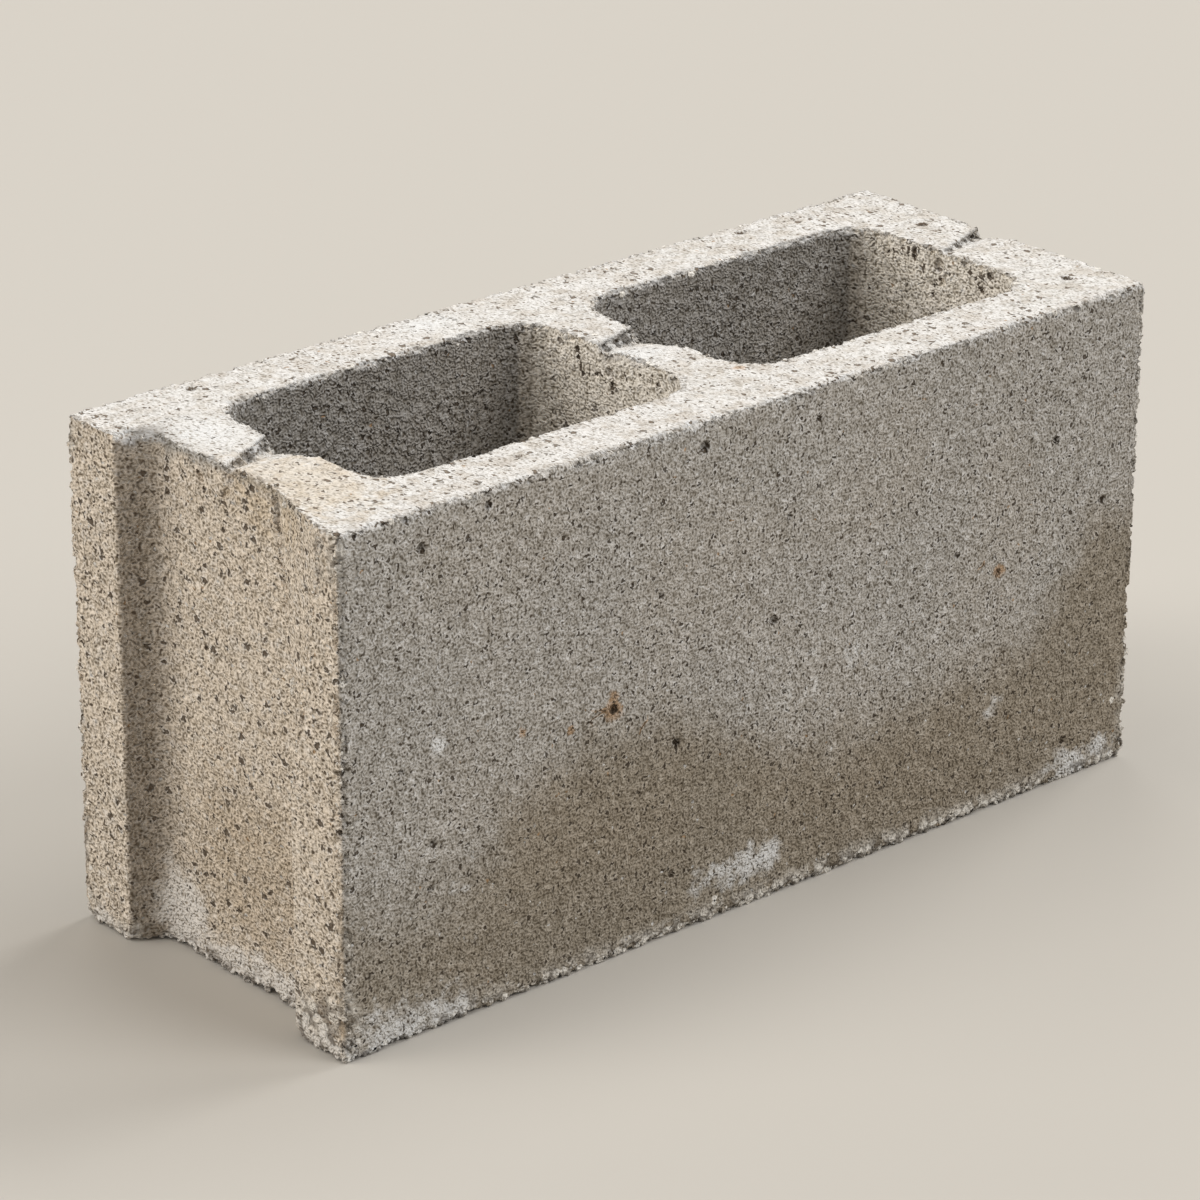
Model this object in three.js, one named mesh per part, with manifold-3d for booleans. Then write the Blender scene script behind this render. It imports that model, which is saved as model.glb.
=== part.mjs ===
// Hollow two-core concrete block, nominal 400 x 150 x 200 mm, cast in one piece.
//
// Millimetres, +Z up, origin at the middle of the underside. +X runs along the block to its
// plain end, and the -X end carries the mortar recess. The block stands as it left the
// mould, with its pallet side down and the side pressed by the mould shoes up.

import * as THREE from 'three';
import { mergeVertices } from 'three/addons/utils/BufferGeometryUtils.js';
import Module from 'manifold-3d';

const wasm = await Module();
wasm.setup();

// ---------------------------------------------------------------- driving dimensions

// Outer size
const length = 400;
const width = 155;
const height = 200;
const arrisRadius = 2; // upright edges

// Walls round the cores, measured at the top, where they are thinnest
const faceShell = 29;
const recessedWeb = 30;
const middleWeb = 24;
const plainWeb = 33;
const coreRadius = 18; // upright corners of each core
const coreDraft = 3; // how far each core wall leans in from top to bottom

// Mortar recess, full height, in the -X end
const recessDepth = 12.5;
const flangeWidth = 28.5; // each of the two flanges beside it
const cheekLean = 7.5; // how far each cheek closes in from flange face to recess floor
const recessFillet = 8;

// The recess cheek on the -Y side wears back into a long slope towards the top
const wearStart = 100; // height where the wear begins
const wornFlange = 19; // flange width lost at the top
const wornLean = 32.5; // lean that the cheek gains at the top

// Trench in the top of each web, where a hanger bar held the core formers in the mould.
// It is a steep break on its +Y side and a long ramp on its -Y side.
const breakSlope = 1.1; // rise over run
const rampSlope = 0.2; // rise over run
const trenchOverrun = 15; // how far each cutter runs on past its web
const trenches = {
  // y and depth are taken at the middle of the web, and depth grows towards +X
  recessedWeb: { y: 3.5, depth: 3.4, turn: 20, dip: 7.5 },
  middleWeb: { y: 8, depth: 3.9, turn: 10, dip: 7 },
  plainWeb: { y: 5, depth: 2.2, turn: 16, dip: 4.5 },
};

const cornerSteps = 5; // facets in each rounded corner
const cornerShare = 0.48; // the most of a side that one rounded corner may take
const overcut = 2; // how far a cutter runs past the face that it opens

// ------------------------------------------------------------- positions that follow

const recessFloorX = -length / 2 + recessDepth;
const coreLength = (length / 2 - recessFloorX - recessedWeb - middleWeb - plainWeb) / 2;
const firstCoreX = recessFloorX + recessedWeb + coreLength / 2;
const secondCoreX = length / 2 - plainWeb - coreLength / 2;
const coreWidth = width - 2 * faceShell;

// ------------------------------------------------------------------- shape functions

/** One corner of an outline, with the radius that it is rounded to. */
const corner = (x, y, radius) => ({ at: new THREE.Vector2(x, y), radius });

/**
 * Points of a closed, counter-clockwise outline with a rounded corner at each given point.
 * A radius is limited by the shorter side beside it.
 */
function roundedOutline(corners) {
  return corners.flatMap(({ at, radius }, i) => {
    const toPrevious = corners.at(i - 1).at.clone().sub(at);
    const toNext = corners[(i + 1) % corners.length].at.clone().sub(at);
    const room = cornerShare * Math.min(toPrevious.length(), toNext.length());
    const outward = toNext.cross(toPrevious) > 0;
    const halfAngle = toPrevious.angleTo(toNext) / 2;
    const setback = Math.min(radius / Math.tan(halfAngle), room);
    const arcRadius = setback * Math.tan(halfAngle);

    const start = toPrevious.normalize().multiplyScalar(setback);
    const end = toNext.normalize().multiplyScalar(setback);
    const centre = start.clone().add(end).setLength(Math.hypot(setback, arcRadius));
    const startAngle = start.sub(centre).angle();
    const endAngle = end.sub(centre).angle();
    centre.add(at);
    return new THREE.ArcCurve(centre.x, centre.y, arcRadius, startAngle, endAngle, !outward)
      .getPoints(cornerSteps);
  });
}

/** A closed solid through a stack of outlines that have as many points each. */
function loft(levels) {
  const count = levels[0].outline.length;
  const positions = levels.flatMap(({ z, outline }) => outline.flatMap(({ x, y }) => [x, y, z]));

  const faces = [];
  for (let level = 0; level < levels.length - 1; level++) {
    for (let i = 0; i < count; i++) {
      const a = level * count + i;
      const b = level * count + (i + 1) % count;
      faces.push(a, b, b + count, a, b + count, a + count);
    }
  }
  const lastRing = (levels.length - 1) * count;
  for (const [a, b, c] of THREE.ShapeUtils.triangulateShape(levels[0].outline, [])) {
    faces.push(a, c, b);
  }
  for (const [a, b, c] of THREE.ShapeUtils.triangulateShape(levels.at(-1).outline, [])) {
    faces.push(lastRing + a, lastRing + b, lastRing + c);
  }

  const geometry = new THREE.BufferGeometry();
  geometry.setAttribute('position', new THREE.Float32BufferAttribute(positions, 3));
  geometry.setIndex(faces);
  return geometry;
}

/** The closed mesh of a geometry as a solid that can be joined and cut. */
function solid(geometry) {
  const bare = geometry.clone();
  bare.deleteAttribute('normal');
  bare.deleteAttribute('uv');
  const closed = mergeVertices(bare);
  return new wasm.Manifold(new wasm.Mesh({
    numProp: 3,
    vertProperties: Float32Array.from(closed.attributes.position.array),
    triVerts: Uint32Array.from(closed.index.array),
  }));
}

/** The surface of a solid as a geometry. */
function geometryOf(cutSolid) {
  const { vertProperties, triVerts } = cutSolid.getMesh();
  const geometry = new THREE.BufferGeometry();
  geometry.setAttribute('position', new THREE.BufferAttribute(vertProperties, 3));
  geometry.setIndex(new THREE.BufferAttribute(triVerts, 1));
  geometry.computeVertexNormals();
  return geometry;
}

// ---------------------------------------------------------------------- the concrete

/** The block's plan outline, with its recess, at a height given by the share of wear. */
function blockOutline(wear) {
  const wornLip = flangeWidth - wear * wornFlange;
  const wornFoot = wornLip + cheekLean + wear * wornLean;
  return roundedOutline([
    corner(-length / 2, -width / 2, arrisRadius),
    corner(length / 2, -width / 2, arrisRadius),
    corner(length / 2, width / 2, arrisRadius),
    corner(-length / 2, width / 2, arrisRadius),
    corner(-length / 2, width / 2 - flangeWidth, arrisRadius),
    corner(recessFloorX, width / 2 - flangeWidth - cheekLean, recessFillet),
    corner(recessFloorX, -width / 2 + wornFoot, recessFillet),
    corner(-length / 2, -width / 2 + wornLip, arrisRadius),
  ]);
}

/** The outer form: a prism whose recess opens out above the start of the wear. */
function outerForm() {
  return loft([
    { z: 0, outline: blockOutline(0) },
    { z: wearStart, outline: blockOutline(0) },
    { z: height, outline: blockOutline(1) },
  ]);
}

/** The cutter of one core, tapered so that the former could be drawn out upwards. */
function coreForm(centreX) {
  const outlineAt = (z) => {
    const inset = coreDraft * (1 - z / height);
    const halfLength = coreLength / 2 - inset;
    const halfWidth = coreWidth / 2 - inset;
    return roundedOutline([
      corner(centreX - halfLength, -halfWidth, coreRadius),
      corner(centreX + halfLength, -halfWidth, coreRadius),
      corner(centreX + halfLength, halfWidth, coreRadius),
      corner(centreX - halfLength, halfWidth, coreRadius),
    ]);
  };
  return loft([-overcut, height + overcut].map((z) => ({ z, outline: outlineAt(z) })));
}

/** The cutter of the trench in one web's top: a wedge that lies along X. */
function trenchForm({ y, depth, turn, dip }, webX, webThickness) {
  const reach = 2 * depth + overcut; // height of the wedge above its lowest line
  const profile = new THREE.Shape([
    new THREE.Vector2(0, 0),
    new THREE.Vector2(reach / breakSlope, reach),
    new THREE.Vector2(-reach / rampSlope, reach),
  ]);
  const wedgeLength = webThickness + 2 * trenchOverrun;
  const wedge = new THREE.ExtrudeGeometry(profile, { depth: wedgeLength, bevelEnabled: false });
  wedge.translate(0, 0, -wedgeLength / 2);

  const alongX = new THREE.Matrix4().makeBasis(
    new THREE.Vector3(0, 1, 0),
    new THREE.Vector3(0, 0, 1),
    new THREE.Vector3(1, 0, 0),
  );
  wedge.applyMatrix4(alongX);
  wedge.rotateY(THREE.MathUtils.degToRad(dip));
  wedge.rotateZ(THREE.MathUtils.degToRad(turn));
  wedge.translate(webX, y, height - depth);
  return wedge;
}

/** The whole block: the outer form less its two cores and the three web trenches. */
function blockSolid() {
  const recessedWebX = recessFloorX + recessedWeb / 2;
  const middleWebX = (firstCoreX + secondCoreX) / 2;
  const plainWebX = length / 2 - plainWeb / 2;
  return solid(outerForm())
    .subtract(solid(coreForm(firstCoreX)))
    .subtract(solid(coreForm(secondCoreX)))
    .subtract(solid(trenchForm(trenches.recessedWeb, recessedWebX, recessedWeb)))
    .subtract(solid(trenchForm(trenches.middleWeb, middleWebX, middleWeb)))
    .subtract(solid(trenchForm(trenches.plainWeb, plainWebX, plainWeb)));
}

const concrete = new THREE.MeshStandardMaterial({
  color: 0xb9b0a3,
  roughness: 0.95,
  metalness: 0,
  flatShading: true,
});

const block = new THREE.Mesh(geometryOf(blockSolid()), concrete);
block.name = 'block';

const concreteBlock = new THREE.Group();
concreteBlock.add(block);

export default concreteBlock;
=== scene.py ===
"""A hollow two-core concrete block standing on a plain studio floor.

The casting's skin is worked up from the CAD solid: it is made dense, worn ragged along its
arrises, broken open in the trenches on the webs and pitted, and grit lies along its edges.
Lengths in the named values are millimetres; MM turns them into metres where they are used.
The X, Y and Z of a place are the block's own: +X towards the plain end, +Z up.
"""
import math

import bmesh
import bpy
from mathutils import Matrix, Vector


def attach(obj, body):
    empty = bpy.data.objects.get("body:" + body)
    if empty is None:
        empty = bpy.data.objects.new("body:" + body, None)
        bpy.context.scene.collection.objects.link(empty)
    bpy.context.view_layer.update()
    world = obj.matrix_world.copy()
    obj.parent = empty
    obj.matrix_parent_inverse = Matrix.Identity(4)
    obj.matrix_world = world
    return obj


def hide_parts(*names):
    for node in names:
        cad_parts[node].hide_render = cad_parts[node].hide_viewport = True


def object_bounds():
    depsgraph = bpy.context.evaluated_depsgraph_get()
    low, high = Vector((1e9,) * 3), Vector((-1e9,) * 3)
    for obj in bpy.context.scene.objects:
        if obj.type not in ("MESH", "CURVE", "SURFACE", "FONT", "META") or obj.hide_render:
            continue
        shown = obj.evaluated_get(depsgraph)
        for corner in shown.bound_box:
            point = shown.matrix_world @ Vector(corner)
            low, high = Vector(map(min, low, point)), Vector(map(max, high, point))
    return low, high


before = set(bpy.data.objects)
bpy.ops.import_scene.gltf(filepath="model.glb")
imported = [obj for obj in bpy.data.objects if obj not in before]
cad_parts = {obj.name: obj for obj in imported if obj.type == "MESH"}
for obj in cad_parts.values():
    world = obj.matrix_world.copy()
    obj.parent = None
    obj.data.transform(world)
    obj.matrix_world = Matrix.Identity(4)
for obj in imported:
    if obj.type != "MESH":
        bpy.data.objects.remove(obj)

MM = 0.001
cad_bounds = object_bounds()

# ------ camera and stage

CAMERA_PLACE = (-1122.5, -1248.6, 801.9)
CAMERA_AZIMUTH = -41.63   # degrees; 0 looks along +Y
CAMERA_ELEVATION = 22.76  # degrees above the level
CAMERA_ROLL = 0.30        # degrees
CAMERA_LENS = 143.9       # on the default 36 mm sensor

FLOOR_COLOUR = (0.562, 0.534, 0.490)
BACKDROP_COLOUR = (0.692, 0.642, 0.574)
FLOOR_SIZE = 16000
FLOOR_DROP = 0.1          # keeps the floor just clear of the block's underside

SKY_COLOUR = (1.0, 0.985, 0.965)
SKY_STRENGTH = 0.30
KEY_COLOUR = (1.0, 0.99, 0.97)
WARM_COLOUR = (1.0, 0.955, 0.89)
# name: azimuth and elevation that the light comes from, softness in degrees, strength, colour
LAMPS = {
    "right": (0, 42, 34, 1.45, KEY_COLOUR),
    "front": (-60, 42, 34, 1.24, KEY_COLOUR),
    "back": (60, 20, 34, 0.68, KEY_COLOUR),
    "left": (150, 20, 34, 0.95, WARM_COLOUR),
    "high_left": (150, 66, 34, 0.66, WARM_COLOUR),
}

# ------ casting

SKIN_PITCH = 0.85         # spacing of the dense skin before it is thinned
SKIN_TRIANGLES = 190000
JOIN_DISTANCE = 0.001     # loose corners of the CAD mesh closer than this are one
SHARP_ANGLE = 15          # degrees; a bend above this is an arris
STEP_ANGLE = 60           # degrees; on the top, a bend below this is a fresh break, still crisp
TOP_SKIN = 1              # how far below the top an edge still belongs to it

ARRIS_REACH = 3.4         # how far wear runs in from an arris
FOOT_REACH = 14           # height of the crumblier zone at the foot
WEATHERING = {
    "Arris Reach": ARRIS_REACH,
    "Arris Wear": 1.7,    # deepest wear along most arrises
    "Foot Reach": FOOT_REACH,
    "Foot Wear": 2.8,     # further wear there
    "Undercut": 1.4,      # how far the foot's own edge draws in
    "Break Depth": 4.4,   # relief of the broken faces in the trenches
    "Swell Depth": 0.25,  # slow waviness of the flat faces
}
WEAR_GRAIN = 2.4          # size of the grains that break away whole
WEAR_BEND = (2, 1.6)      # size and reach of the bends in their outlines
WEAR_PATCH = 8            # size of the patches that are worn more, and their noise's limits
WORN_NOISE = (0.34, 0.66)
WEAR_CHANCE = (0.3, 0.9)  # chance that a grain on an arris is lost, outside and inside a patch
LOST_EDGE = 0.08          # how gently a lost grain's hollow begins
GRAIN_DEPTH = (0.35, 1.0) # share of the wear that one lost grain takes with it
UNDERCUT_HEIGHT = 3       # how far up the undercut reaches
UNDERCUT_AWAY = (3, 0.5)  # distances from the arris at which it begins and is full
BREAK_CHUNK = 3.0         # size of the chunks on a broken face
BREAK_BEND = (3, 3)
BREAK_BLUR = 4            # steps by which a broken face eases into the sound ones
SWELL_SIZE = 38
HOLE_BEND = (3, 1.5)
HOLE_DEPTH = 1.1          # depth of a bug hole, as a share of its radius
SPALL_BEND = (4, 4)
SPALL_DEPTH = 0.6
DENT_FLOOR = 0.3          # radius of a dent's floor, as a share of its own

CRUMBLED_CORNER = ((-200, -68, 0), (14, 30, 30))   # centre and reach
CRUMBLE_PATCH = 9         # size of the patches that have crumbled
ARRIS_CRUMBLE = 0.7       # share of the crumbling along the arrises above the foot

# Single bug holes by the plane that they lie in: the axis that it crosses, 0 for X to 2 for Z, and
# where. Then each hole's places along the other two axes, its radius and, where rust has spread
# round it, how far.
BUG_HOLES = (
    (1, -77.5, (   # the front
        (-133, 194, 1.9), (-31.5, 190, 2.6), (-44, 77.5, 2.3), (152.5, 147, 2.0), (-52, 138, 1.5),
        (25, 187, 1.5), (11, 152, 1.4), (4, 113, 2.3), (-45.5, 25, 1.7), (163.5, 17, 1.9),
        (-159, 73, 1.9), (-160.5, 56, 1.7), (100, 113, 1.7), (-173, 105, 1.5), (-163, 186, 2.4),
        (180, 115, 2.0), (123, 100, 1.8, 2.0), (-74.5, 100, 2.3, 4.0), (-74, 105, 0.8, 2.4),
        (-118, 104, 0.5, 1.6), (-95, 98, 0.4, 1.4),
    )),
    (1, 77.5, (   # the back
        (-148, 171, 1.9), (-96, 63, 2.4), (-61, 140, 1.5), (-22, 97, 1.8), (14, 182, 2.2),
        (47, 41, 1.7), (58, 128, 1.4, 3.0), (101, 88, 2.1), (133, 160, 1.6), (171, 34, 2.0),
        (-178, 112, 1.6), (150, 121, 1.3),
    )),
    (0, 200, (   # the plain end
        (-48, 156, 1.8), (22, 118, 2.2), (55, 64, 1.6), (-14, 43, 1.5, 2.2), (39, 178, 1.4),
        (-61, 88, 1.7),
    )),
    (2, 200, (   # the top
        (16, -44, 0.5, 3.0), (-150, 69, 2.4), (123, 70, 2.2), (185, 30, 2.4), (181, -53, 2.6),
        (-105, -60, 1.6),
    )),
    (0, -7.25, (   # the middle web
        (19.9, 195, 1.5), (19.2, 192, 1.2), (16.5, 186, 1.3), (8.6, 188, 1.2), (1.3, 191, 1.5),
        (-0.4, 186, 1.7), (-0.2, 183, 1.1), (-25.2, 193, 1.4), (-15.3, 194, 0.8),
    )),
    (0, 167, (   # the web at the plain end
        (16.6, 196.5, 1.7), (16.2, 193.5, 1.2), (-25.2, 196.5, 2.0), (-21.2, 190, 1.4),
        (-17.8, 193.4, 1.1), (-10.4, 197.5, 1.3), (4.9, 185, 1.1), (5.3, 181, 1.0),
        (1.2, 188, 1.1), (30.4, 192, 1.1), (22.7, 196, 1.2),
    )),
    (0, -187.5, (   # the recess
        (16, 192, 1.7), (13, 187, 1.4), (2, 188, 1.3), (0, 182, 1.3), (2, 175, 1.2),
        (14, 126, 1.4),
    )),
)

# Spalls knocked off the arrises and hollows torn in the walls: x, y, z, radius
SPALLS = (
    (-199, -76.5, 199, 3.0), (-200, -50, 1, 3.6), (-194, 46, 201, 7.0), (-190, 40, 202, 6.0),
    (-200, 76, 1, 5.0), (-186, -20, -1, 6.0), (-186, 12, -1, 5.0), (-36, -77, 201, 4.0),
    (-7.25, 2.5, 196, 3.4), (-7.25, 1.5, 190, 2.4), (167, 2.5, 193.5, 3.6),
    (167, 0.5, 187, 2.2), (-187.5, -2, 196, 3.2), (-187.5, -1, 190, 2.4),
    (-187.5, 15, 190, 2.6),
)

# ------ grit

# name: stones per square millimetre along the arrises at the foot, share of that above the foot,
# largest radius, seed
GRIT = {
    "edge_grit": (0.55, 0.30, 0.75, 7),
    "edge_crumbs": (0.34, 0.05, 1.9, 3),
}
# Least and most of a stone's radius, as a share of the largest, of its scale and of its turn
STONE_SIZE = (0.4, 1.0)
STONE_SHAPE = ((0.7, 0.7, 0.7), (1.1, 1.0, 1.0))
STONE_TURN = ((0, 0, 0), (math.tau, math.tau, math.tau))
GRIT_FOOT_Z = (14, 2)     # heights between which the share above the foot gives way to all
BOX_MARGIN = 0.05         # how far the stones keep inside the block's box

# ------ grain and pits

GRAIN_SIZES = (0.95, 1.8, 3.4)     # spacing of the sand, of lumps of it and of clumps of those
GRAIN_STRETCH = (1.0, 0.80, 1.0)   # below 1, the grain lies longer that way
GRAIN_CURL = (2.0, 1.1)            # size and reach of the bends in the grain
PORE_NOISE = (0.40, 0.26)          # sand at which a pore between the grains begins and is full

# Pits: spacing, share of the cells that hold one, widest radius as a share of the spacing
FINE_PITS = (2.2, 0.38, 0.31)
OPEN_PITS = (4.0, 0.52, 0.38)   # where the concrete has crumbled, these cells are its pebbles
LAITANCE_PITS = (0.28, -0.02)   # what laitance adds to the share and the width of open pits
END_PITS = -0.22          # what the recessed end adds to their share
FEW_WIDE = 2.0            # above 1, few of them are wide
PIT_RAGGEDNESS = 1.8      # how far fine grain moves the rim of a pit
PIT_NARROWEST = 0.35      # radius of the narrowest pit, as a share of the widest
PIT_FLOOR = 0.65          # radius of a pit's floor and of its rim, as shares of its own
PIT_RIM = 1.7
PIT_PATCHES = 45          # distance between patches with more and with fewer pits
CROWDING = (0.6, 1.4)     # how many there are in such patches, against the usual number
CORE_END_PITS = -0.15     # what the ends of the cores add to it
BLOOM_FILLS = -0.95       # what efflorescence adds to it
PEBBLE = (0.62, 0.20)     # distances from a cell's middle where its pebble begins and is full
GAP = (0.46, 0.66)        # and where the gap round it does
GRAIN_MIDDLE = (0.30, 0.18)     # and, in a cell of the fine pits, where a fleck or a speck does
FLECKED = 0.955           # dice above which a grain is a pale fleck
RUSTY = (0.93, 0.004)     # dice round which one is a rusty speck, and how far round

# Height of each thing in the relief, and how far one unit of it stands out
FINE_HEIGHT = 1.75
CLUMP_HEIGHT = 2.1
PEBBLE_HEIGHT = 1.6
PIT_HEIGHT = -1.6
RELIEF_REACH = 0.75
# What each mark adds to the height of the grain
ROUGHER = {"end": 0.3, "core_end": -0.5, "laitance": -0.35}

ROUGHNESS = 0.93
SPECULAR = 0.25

# ------ colours

CEMENT = (0.431, 0.404, 0.361)
CEMENT_WARM = (0.441, 0.405, 0.353)
PALE_GRAIN = (0.760, 0.735, 0.695)
DARK_GRAIN = (0.330, 0.300, 0.262)
# The fine and the clump tints follow the same noise as the relief, so as well as the grain's tone
# they paint shade into its low places and light onto its high ones.
LOW_TINT = (0.40, 0.365, 0.30)    # what the lowest and the highest grain does to the colour
HIGH_TINT = (1.257, 1.281, 1.336)
LOW_GRAIN = 0.15                  # the height of the grain that gets the lowest tint
HIGH_GRAIN = 0.65                 # the height from which it gets the highest
LUMP_TINT = 0.24                  # share of the tint that lumps give the recessed end
CLUMP_TINT = 0.36                 # share that clumps give, and what the recessed end adds to it
CLUMP_TINT_AT_END = -0.26
CORE_END_TINT = 0.6               # how much less of both the ends of the cores get
LAITANCE_CALM = 0.72              # how far laitance hides the tint
PALE_TONES = (0.70, 0.95)         # tones of a grain at which it turns pale, and dark
DARK_TONES = (0.25, 0.05)
TONE_COVER = 0.25
# PIT and the two after it are painted shade: the near-black of pores, pits, gaps and bug holes,
# lighter in laitance where more light gets in, stands in for the shade inside them.
PIT = (0.062, 0.045, 0.030)
PIT_IN_LAITANCE = (0.170, 0.125, 0.085)
PIT_IN_TAN = (0.105, 0.076, 0.052)
LAITANCE = (0.785, 0.766, 0.737)
LAITANCE_WORN = (0.640, 0.596, 0.540)
# END_TAN is partly the recessed end's own tan and partly painted warm light on the faces that look
# towards -X. CORE_END is painted light that makes the core walls facing that way as pale as the
# end.
END_TAN = (0.845, 0.723, 0.573)
CORE_END = (1.000, 0.920, 0.790)
OCHRE = (0.640, 0.490, 0.300)
BLUE_GREY = (0.600, 0.615, 0.620)
BLOOM = (0.800, 0.800, 0.795)
BLOOM_ON_TAN = (0.920, 0.880, 0.830)
PALE_STONE = (0.940, 0.900, 0.830)
RUST = (0.440, 0.240, 0.090)
DAMP = (0.690, 0.632, 0.545)      # what damp leaves of each colour
PAINTED_SHADE = (0.550, 0.545, 0.545)     # what the painted shade in the cores and on the far cheek leaves of each colour
CORE_PAINTED_SHADE = 0.46                 # share of that painted shade on the core walls

# How much of what is below it each thing on the concrete hides at most
COVER = {
    "End": 0.80, "Core End": 1.0, "Laitance": 0.90, "Ochre": 0.35, "Broken": 0.80,
    "Rim": 0.30, "Pale Stone": 0.80, "Fleck": 0.70, "Speck": 0.60, "Rust": 0.60,
    "Bloom": 0.85, "Gap": 0.75, "Pore": 0.40, "Pit": 0.88, "Hole": 0.93,
}

# ------ where the marks lie

# Efflorescence: centre x, y, z, reach x, y, z and strength
BLOOMS = (
    ((-156, -77, 111), (7, 6, 6), 1.0),
    ((-178, -77, 2), (40, 9, 16), 0.95),
    ((-156, -77, 5), (22, 8, 12), 0.75),
    ((-160, -77, 44), (16, 6, 10), 0.22),
    ((-146, -77, 52), (10, 6, 6), 0.25),
    ((2, -77, 17), (13, 6, 12), 1.3),
    ((-20, -77, 17), (26, 6, 7), 0.75),
    ((167, -77, 6), (17, 8, 9), 1.3),
    ((184, -77, 8), (12, 8, 8), 0.7),
    ((121, -77, 41), (6, 6, 11), 0.25),
    ((34, -77, 88), (24, 6, 13), 0.22),
    ((-188, -12, 1), (14, 66, 15), 1.6),
    ((-188, 32, 12), (14, 17, 26), 1.4),
    ((-200, 62, 0), (10, 24, 10), 0.9),
    ((-200, -66, 0), (12, 26, 13), 1.2),
    ((141, 77, 6), (34, 9, 13), 1.0),
    ((60, 77, 14), (15, 8, 9), 0.9),
    ((-118, 77, 4), (24, 8, 10), 0.9),
    ((200, 44, 4), (8, 22, 11), 1.0),
    ((-41, 67, 200), (22, 12, 5), 0.9),
    ((-172, 30, 200), (18, 26, 6), 0.8),
    ((0, -5, 200), (22, 20, 6), 0.8),
)
# Height of the damp line along the front: x, z
DAMP_LINE = (
    (-200, 60), (-155, 66), (-138, 72), (-116, 84), (-78, 97), (-50, 93), (-12, 79), (8, 65),
    (50, 61), (100, 65), (136, 72), (152, 84), (168, 101), (184, 113), (200, 108),
)
DAMP_BEND = (18, 14)            # size and reach of the bends in its edge
DAMP_EDGE = (-24, 34)           # how far below its line damp begins and is full
DAMP_FADE_X = (-158, -84)       # it gets stronger from the first x to the second
DAMP_LEFT = 0.75                # its share to the left of that
BACK_DAMP_Z = (62, 62 / 3)      # heights at which it begins and is full in the other faces
BACK_DAMP = 0.6                 # its share there
BROWN_PATCH = ((-188, -8, 48), (22, 62, 56), 1.0)   # in the recess
BROWN_BEND = (22, 26)
BROWN_EDGE = (0.0, 0.7)
BROWN_DAMP = 0.5                # what the brown patch counts for as damp
OCHRE_PATCH = ((-176, -30, 200), (32, 44, 26))      # where the recessed web meets the front shell
OCHRE_BEND = (30, 20)
WARM_PATCH = 70                 # size of the patches of warmer cement
PATCH_NOISE = (0.35, 0.65)      # noise at which such a patch begins and is full

# In each pair a mark begins at the first value and is full at the second. A name in X, Y or Z
# gives places along that axis, and one in FACING gives shares of the outward normal along it.
FACE_SKIN = (6, 1)              # how far behind a flat face a point still belongs to it
END_FACING = (-0.5, -0.9)
SHELL_FACING = (0.35, 0.75)
UP_FACING = (0.4, 0.8)
BREAK_FACING = ((-0.35, -0.6), (0.35, 0.6))     # along Y and along Z
BREAK_Z = (185, 190)
CORE_Y = (64, 60)               # either way from the middle, as is the next
BETWEEN_FLANGES_Y = (72, 70)
RECESS_X = (-176, -188)
RECESS_WALL_X = (-182, -185)
FLANGE_X = (-193, -195)
CORNER_SPLIT = (-0.4, 0.4)      # how much further a point lies out of the end than of the side
FAR_CHEEK_Y = (22, 50)
FAR_LIP_Y = (50, 48)
NEAR_TOP_Z = (185, 192)
BELOW_TOP_Z = (198, 196)
FOOT_AWAY = (9, 2)              # distance from an arris, as is the next
ARRIS_AWAY = (4, 1)
FOOT_Z = (FOOT_REACH, 5)
CRUMBLED_LOW_Z = (62, 30)
CRUMBLED_HIGH_Z = (168, 190)
SOUND_TOP_Z = (198, 195)
CRUMBLED_NOISE = (0.30, 0.50)
AT_CORNER = (0.0, 0.5)          # closeness to the crumbled corner

# Stains with an edge that cloudy noise breaks up: where one begins and is full, and how far the
# noise moves it
STAIN_EDGES = {
    "bloom": (0.05, 0.75, 2.2),
    "ochre": (0.0, 0.5, 1.2),
    "damp": (0.05, 0.95, 0.7),
}
CLOUD_SIZE = 9
CLOUD_NOISE = (0.42, 0.64)      # noise between which fresh laitance gives way to worn
MEALY_NOISE = (0.16, 0.46)      # sand on which efflorescence begins to lie and lies full
STONE_TONES = (0.35, 0.9)       # tones of the loose stones between which they turn pale
PEBBLE_TONES = (0.05, 0.60)     # and of the pebbles
HOLE_WANDER = 1.3               # how far the sand moves the rim of a bug hole
HOLE_FLOOR = 0.78               # radius at which its colour is full, as a share of its own
RUST_WANDER = 9.0               # how far the noise moves the edge of its rust


# ------ node building

NODE_SPACING = (220, -260)   # of the nodes in a tree, across and down
NODES_IN_COLUMN = 5
# Sockets of a Mix node that is set to colours: its factor, its two colours and its result
MIX_FACTOR, MIX_FIRST, MIX_SECOND, MIX_RESULT = 0, 6, 7, 2
# Sockets of a Random Value node for each kind of value: its lowest, its highest and its result
RANDOM_SOCKETS = {"FLOAT": (2, 3, 1), "FLOAT_VECTOR": (0, 1, 0)}


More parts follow.
